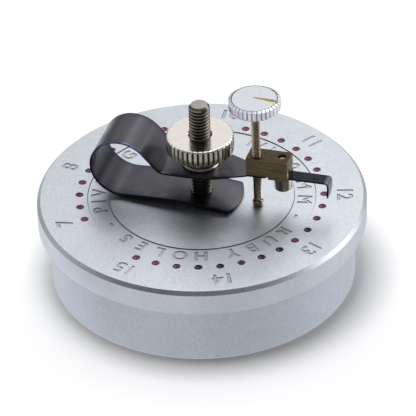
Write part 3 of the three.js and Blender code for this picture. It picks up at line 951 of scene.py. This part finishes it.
def strip():
    """The whole spring strip as one bent piece with a rounded leg end and its four holes."""
    line, far_index = strip_line()
    lengths = [0.0]
    for (x0, z0, _), (x1, z1, _) in zip(line, line[1:]):
        lengths.append(lengths[-1] + math.hypot(x1 - x0, z1 - z0))
    columns = 20
    round_reach = 5.0
    vertices, faces, edge_faces = [], [], []
    for index, (x, z, heading) in enumerate(line):
        half = strip_half_width(x, index > far_index, lengths[-1] - lengths[index])
        rounding = max(0.0, 1 - lengths[index] / round_reach)
        for side in (1, -1):
            for column in range(columns + 1):
                y = half * (2 * column / columns - 1)
                sag = rounding * (LEG_END_R - math.sqrt(LEG_END_R**2 - y * y))
                out = side * STRIP_THICK / 2
                along_x = x - out * math.sin(heading) + sag * math.cos(heading)
                along_z = z + out * math.cos(heading) + sag * math.sin(heading)
                vertices.append((along_x, y, along_z))
    row = 2 * (columns + 1)
    lower = columns + 1
    for index in range(len(line) - 1):
        here, after = index * row, (index + 1) * row
        for column in range(columns):
            a, b = here + column, after + column
            faces.append((a, b, b + 1, a + 1))
            faces.append((a + lower + 1, b + lower + 1, b + lower, a + lower))
        for column in (0, columns):
            a, b = here + column, after + column
            ends = (a, a + lower, b + lower, b)
            edge_faces.append(len(faces))
            faces.append(ends if column == 0 else ends[::-1])
    for start in (0, (len(line) - 1) * row):
        for column in range(columns):
            a = start + column
            ends = (a, a + 1, a + lower + 1, a + lower)
            edge_faces.append(len(faces))
            faces.append(ends if start == 0 else ends[::-1])
    body = build("spring_strip", vertices, faces)
    body.data.materials.append(spring_steel())
    body.data.materials.append(blued_edge())
    for index in edge_faces:
        body.data.polygons[index].material_index = 1
    slot_ends = (-ARM_HOLE_SHIFT, ARM_HOLE_SHIFT)
    slot = box_piece("slot", slot_ends, (-ARM_HOLE_R, ARM_HOLE_R), (ARM_Z - 2, ARM_Z + 2))
    ends = [
        drill(ARM_HOLE_R, ARM_Z - 2, ARM_Z + 2, Matrix.Translation((shift, 0, 0)))
        for shift in slot_ends
    ]
    combine(slot, ends, "UNION")
    holes = [
        slot,
        drill(LEG_HOLE_R, PLATE_Z - 1, PLATE_Z + 3),
        drill(ROD_CLEAR_R, -2, 2, ON_ROD),
        drill(FIXING_CLEAR_R, -2, 2, ON_FIXING),
    ]
    combine(body, holes)
    return round_edges(body, 0.06)


def blend_strip(piece):
    """Bakes the strip's place into its points; nothing here lets the loop bend between the leg, which
    stays on the base, and the arm, which the nut sets.
    """
    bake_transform(piece)


def nut():
    top, shoulder = NUT_HIGH.z - NUT_LOW.z, NUT_HUB_TALL
    bore, hub, face_r = 2.12, 3.35, NUT_R - 0.36
    profile = [
        (bore, 0.1),
        (bore + 0.1, 0),
        (hub - 0.2, 0),
        (hub, 0.2),
        (hub, shoulder - 0.15),
        (hub + 0.15, shoulder),
        (NUT_R - 0.5, shoulder),
        (NUT_R - 0.15, shoulder + 0.12),
        (NUT_R, shoulder + 0.35),
        (NUT_R, top - 0.32),
        (NUT_R - 0.06, top - 0.2),
        (NUT_R - 0.2, top - 0.09),
        (face_r, top),
        (face_r - 0.05, top),
        (bore + 0.2, top),
        (bore, top - 0.25),
    ]
    place = Matrix.Translation((0, 0, NUT_LOW.z))
    rim = knurl(NUT_R, NUT_TEETH, 0.3, 0.26)
    return turned("nut_with_knurl", profile, NUT_TEETH * 12, place, rim, 30)


def washer():
    thick = WASHER_HIGH.z - WASHER_LOW.z
    outer, inner, ease = WASHER_HIGH.x, 2.2, 0.08
    profile = [
        (inner, ease),
        (inner + ease, 0),
        (outer - ease, 0),
        (outer, ease),
        (outer, thick - ease),
        (outer - ease, thick),
        (inner + ease, thick),
        (inner, thick - ease),
    ]
    return turned("plain_washer", profile, 96, Matrix.Translation((0, 0, WASHER_LOW.z)))


def block():
    top = BLOCK_FLOOR + BLOCK_TALL
    body = box_piece("brass_block", BLOCK_X, (-BLOCK_HALF, BLOCK_HALF), (BLOCK_FLOOR, top), ON_ARM)
    for low, high in ((-BLOCK_HALF, -RAIL_INNER), (RAIL_INNER, BLOCK_HALF)):
        rail = box_piece(
            "rail", (RAIL_START_X, BLOCK_X[1]), (low, high), (BLOCK_FLOOR - RAIL_DROP, top - 1), ON_ARM
        )
        combine(body, [rail], "UNION")
    round_edges(body, 0.09, 2)
    holes = [
        drill(ROD_HOLE_R, -2, top + 3, ON_ROD),
        drill(SCREW_HOLE_R, -2, top + 1, ON_FIXING),
    ]
    combine(body, holes)
    return round_edges(body, 0.06, 1, 60)


def fixing_screw():
    head_top = STRIP_THICK / 2 - RAIL_DROP - 0.03
    bottom = head_top - FIXING_HEAD_TALL
    collar, shank = 0.95, 0.6
    tip = BLOCK_FLOOR + BLOCK_TALL - 0.4
    profile = [
        (0, bottom),
        (FIXING_HEAD_R - 0.4, bottom),
        (FIXING_HEAD_R - 0.12, bottom + 0.12),
        (FIXING_HEAD_R, bottom + 0.4),
        (FIXING_HEAD_R, head_top - 0.12),
        (FIXING_HEAD_R - 0.12, head_top),
        (collar, head_top),
        (collar, -STRIP_THICK / 2 - 0.02),
        (shank, -STRIP_THICK / 2 - 0.02),
        (shank, tip - 0.2),
        (shank * 0.8, tip),
        (0, tip + 0.06),
    ]
    screw = turned("fixing_screw_turned", profile, 64, ON_FIXING)
    slot = box_piece("slot", (-2, 2), (-0.25, 0.25), (bottom - 1, bottom + 0.7), ON_FIXING)
    return combine(screw, [slot])


def foot():
    round_r = 0.38
    core_r = FOOT_R - round_r
    profile = [
        (0, 0),
        (core_r, 0),
        *arc((core_r, 0.34), 0.34, -80, -10, 4),
        *arc((core_r, 0.8), round_r, 0, 75, 4),
        (0.54, FOOT_TALL),
        (0.54, 0.29),
        (0, 0.29),
    ]
    return turned("rod_foot", profile, 48, ON_ROD @ Matrix.Translation((0, 0, FOOT_BOTTOM)))


def pointer_rod():
    neck_top = FOOT_BOTTOM + FOOT_TALL + 0.06
    ends = neck_top, KNOB_BOTTOM
    rod = threaded("threaded_rod", ROD_R, ROD_THREAD_DEPTH, ROD_PITCH, *ends, ON_ROD, 32)
    neck = drill(ROD_NECK_R, FOOT_BOTTOM + 0.35, neck_top + 0.4, ON_ROD, 32)
    return combine(rod, [neck], "UNION")


def knob():
    groove = 0.13
    profile = [
        (0, KNOB_BOTTOM),
        (KNOB_R - 0.45, KNOB_BOTTOM),
        (KNOB_R - 0.1, KNOB_BOTTOM + 0.1),
        (KNOB_R, KNOB_BOTTOM + 0.25),
        (KNOB_R, KNOB_TOP - KNOB_BEVEL_DROP - 0.1),
        (KNOB_R - 0.04, KNOB_TOP - KNOB_BEVEL_DROP),
        (KNOB_FACE_R + groove, KNOB_TOP),
        (KNOB_FACE_R + groove / 2, KNOB_TOP - 0.16),
        (KNOB_FACE_R, KNOB_TOP),
        (0, KNOB_TOP),
    ]
    rim = knurl(KNOB_R, KNOB_TEETH, 0.28, 0.24)
    body = turned("knob_with_knurl", profile, KNOB_TEETH * 14, ON_ROD, rim, 30)
    return combine(body, [pointer_wedge("pointer_groove", 0.04, KNOB_TOP - 0.3, KNOB_TOP + 1)])


def pointer_wedge(name, grow, low, high):
    """A slim wedge from just past the centre out to the knob's rim."""
    narrow, wide, tip = 0.08 + grow, 0.4 + grow, 0.16 + grow
    start, widest, end = -0.25 - grow, 3.3, KNOB_R - 0.3 + grow
    half = [(start, narrow), (widest, wide), (end, tip)]
    outline = [(x, -y) for x, y in half] + [(x, y) for x, y in reversed(half)]
    count = len(outline)
    vertices = [(x, y, z) for z in (low, high) for x, y in outline]
    faces = [tuple(reversed(range(count))), tuple(range(count, 2 * count))]
    for index in range(count):
        after = (index + 1) % count
        faces.append((index, after, after + count, index + count))
    turn = Matrix.Rotation(math.radians(POINTER_TURN), 4, "Z")
    aside = Matrix.Translation((0, POINTER_OFF_CENTRE, 0))
    return build(name, vertices, faces, ON_ROD @ turn @ aside)


def knob_pointer():
    wedge = pointer_wedge("gilt_pointer", 0, KNOB_TOP - 0.28, KNOB_TOP - 0.02)
    bevel = [
        (0, KNOB_TOP - 0.5),
        (KNOB_R - 0.04, KNOB_TOP - 0.5),
        (KNOB_R - 0.04, KNOB_TOP - KNOB_BEVEL_DROP + 0.01),
        (KNOB_FACE_R + 0.13, KNOB_TOP + 0.01),
        (0, KNOB_TOP + 0.01),
    ]
    return combine(wedge, [turned("bevel", bevel, 96, ON_ROD)], "INTERSECT")


# ---- Stage ---------------------------------------------------------------------------------


def from_camera_azimuth(azimuth, elevation):
    """A direction away from the object. Azimuth 0 is behind it as the camera sees it, 90 is right."""
    turn = math.radians(VIEW_AZIMUTH - azimuth)
    lift = math.radians(elevation)
    return Vector((-math.sin(turn) * math.cos(lift), math.cos(turn) * math.cos(lift), math.sin(lift)))


def softbox(name, azimuth, elevation, distance, size, brightness):
    """An area light aimed at the plate. Its brightness is what a mirror would show of it."""
    width, height = size[0] * MM, size[1] * MM
    data = bpy.data.lights.new(name, "AREA")
    data.shape = "RECTANGLE"
    data.size, data.size_y = width, height
    data.energy = brightness * math.pi * width * height
    light = bpy.data.objects.new(name, data)
    bpy.context.scene.collection.objects.link(light)
    away = from_camera_azimuth(azimuth, elevation)
    light.location = (away * distance + Vector((0, 0, PLATE_Z))) * MM
    light.rotation_euler = away.to_track_quat("Z", "Y").to_euler()
    return light


def share_light(light, ground, on_ground):
    """Keeps a light off the floor, or on the floor alone."""
    lit = bpy.data.collections.new(light.name + "_lit")
    lit.objects.link(ground)
    if not on_ground:
        lit.collection_objects[0].light_linking.link_state = "EXCLUDE"
    light.light_linking.receiver_collection = lit


def floor():
    far = 2000
    vertices = [(-far, -far, 0), (far, -far, 0), (far, far, 0), (-far, far, 0)]
    ground = build("floor", vertices, [(0, 1, 2, 3)])
    look = Look("paper", (0.9, 0.9, 0.9), metallic=0.0, roughness=0.9)
    look.vary_roughness(look.noise(30), 0.85, 0.95)
    ground.data.materials.append(look.material)
    ground.visible_glossy = False
    ground.visible_diffuse = False
    return ground


def sky():
    """The studio round the object: pale below, bright above and behind it, dim above its front."""
    world = bpy.data.worlds.new("studio")
    world.use_nodes = True
    bpy.context.scene.world = world
    tree = world.node_tree
    background = tree.nodes["Background"]
    direction = tree.nodes.new("ShaderNodeTexCoord").outputs["Generated"]

    def along(axis):
        dot = tree.nodes.new("ShaderNodeVectorMath")
        dot.operation = "DOT_PRODUCT"
        dot.inputs[1].default_value = axis
        tree.links.new(direction, dot.inputs[0])
        share = tree.nodes.new("ShaderNodeMapRange")
        share.inputs[1].default_value = -1
        tree.links.new(dot.outputs["Value"], share.inputs[0])
        return share.outputs[0]

    def ramp(value, stops):
        made = tree.nodes.new("ShaderNodeValToRGB")
        elements = made.color_ramp.elements
        while len(elements) < len(stops):
            elements.new(0.5)
        for element, (position, level) in zip(elements, stops):
            element.position = position
            element.color = (level, level, level * 1.03, 1)
        tree.links.new(value, made.inputs[0])
        return made.outputs[0]

    height = along((0, 0, 1))
    above_behind = ((0.56, 0.3), (0.75, 0.82), (0.95, 0.95))
    above_front = ((0.54, 0.35), (0.75, 0.08), (0.93, 0.08), (1.0, 0.5))
    behind = ramp(height, ((0.0, 0.86), (0.42, 0.86), (0.48, 0.25), *above_behind))
    front = ramp(height, ((0.0, 0.66), (0.46, 0.66), *above_front))
    mix = tree.nodes.new("ShaderNodeMix")
    mix.data_type = "RGBA"
    smooth = ramp(along(from_camera_azimuth(0, 0)), ((0.4, 0.0), (0.62, 1.0)))
    tree.links.new(smooth, mix.inputs["Factor"])
    tree.links.new(front, mix.inputs[6])
    tree.links.new(behind, mix.inputs[7])
    across = along(from_camera_azimuth(90, 0))
    left_side = ((0.0, 0.8), (0.09, 0.86), (0.19, 1.16), (0.4, 1.02))
    right_side = ((0.6, 0.85), (0.8, 0.94), (0.95, 1.05))
    sides = ramp(across, left_side + right_side)
    shade = tree.nodes.new("ShaderNodeMix")
    shade.data_type = "RGBA"
    shade.blend_type = "MULTIPLY"
    tree.links.new(ramp(height, ((0.4, 1.0), (0.5, 0.0))), shade.inputs["Factor"])
    tree.links.new(mix.outputs[2], shade.inputs[6])
    tree.links.new(sides, shade.inputs[7])
    tree.links.new(shade.outputs[2], background.inputs[0])


# ---- Everything together -------------------------------------------------------------------

place_camera()
sky()
ground = floor()

add(base_body(), "base", "aluminium", aluminium(), "base_body")
ruby_look = ruby()
for number, node in enumerate(JEWEL_NODES):
    add(jewel(number), "base", "ruby", ruby_look, node)

stud_thread = STUD_R, STUD_THREAD_DEPTH, STUD_PITCH, STUD_BOTTOM, STUD_TOP
stud = threaded("threaded_stud", *stud_thread, steps=64, chamfer=0.5)
add(stud, "base", "dark_steel", stud_nickel(), "stud")

spring = strip()
blend_strip(spring)
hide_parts("spring_leg", "spring_arm")

add(nut(), "nut", "nickel", nut_nickel(), "knurled_nut")
washer_look = nickel("washer_nickel", (0.78, 0.73, 0.64), 0.3)
add(washer(), "washer", "nickel", washer_look.material, "washer")

add(block(), "arm", "brass", brass(), "block")
fixing_centre = (FIXING_X, FIXING_Y)
screw_look = streaked_nickel(
    "screw_nickel", (0.66, 0.6, 0.5), (0.12, 0.1, 0.08), 0.2, fixing_centre
)
add(fixing_screw(), "arm", "nickel", screw_look, "fixing_screw")

rod_centre = (ROD_X, ROD_Y)
foot_look = streaked_nickel("foot_nickel", (0.5, 0.44, 0.36), (0.07, 0.055, 0.04), 0.16, rod_centre)
add(foot(), "foot", "nickel", foot_look, "screw_foot")
rod_crest, rod_root = (0.72, 0.62, 0.48), (0.2, 0.15, 0.1)
rod_look = threads("rod_nickel", rod_crest, rod_root, rod_centre, ROD_R, ROD_THREAD_DEPTH)
# Bright streaks painted down the rod are painted highlights.
bright_streaks = rod_look.noise(0.6, stretch=(1, 1, 0.06))
rod_look.tint(rod_look.ramp(bright_streaks, 0.52, 0.66, 0, 0.7), (0.95, 0.9, 0.8))
add(pointer_rod(), "pointer", "nickel", rod_look.material, "pointer_rod")
add(knob(), "pointer", "nickel", knob_silver(), "pointer_knob")
add(knob_pointer(), "pointer", "gilt", gilt(), "knob_pointer")

share_light(softbox("overhead", 42, 60, 500, (420, 280), 1.85), ground, False)
share_light(softbox("right", 78, 28, 450, (340, 170), 2.2), ground, False)
share_light(softbox("paper_light", -76, 84, 600, (320, 320), 9), ground, True)

scene = bpy.context.scene
scene.view_settings.view_transform = "Standard"
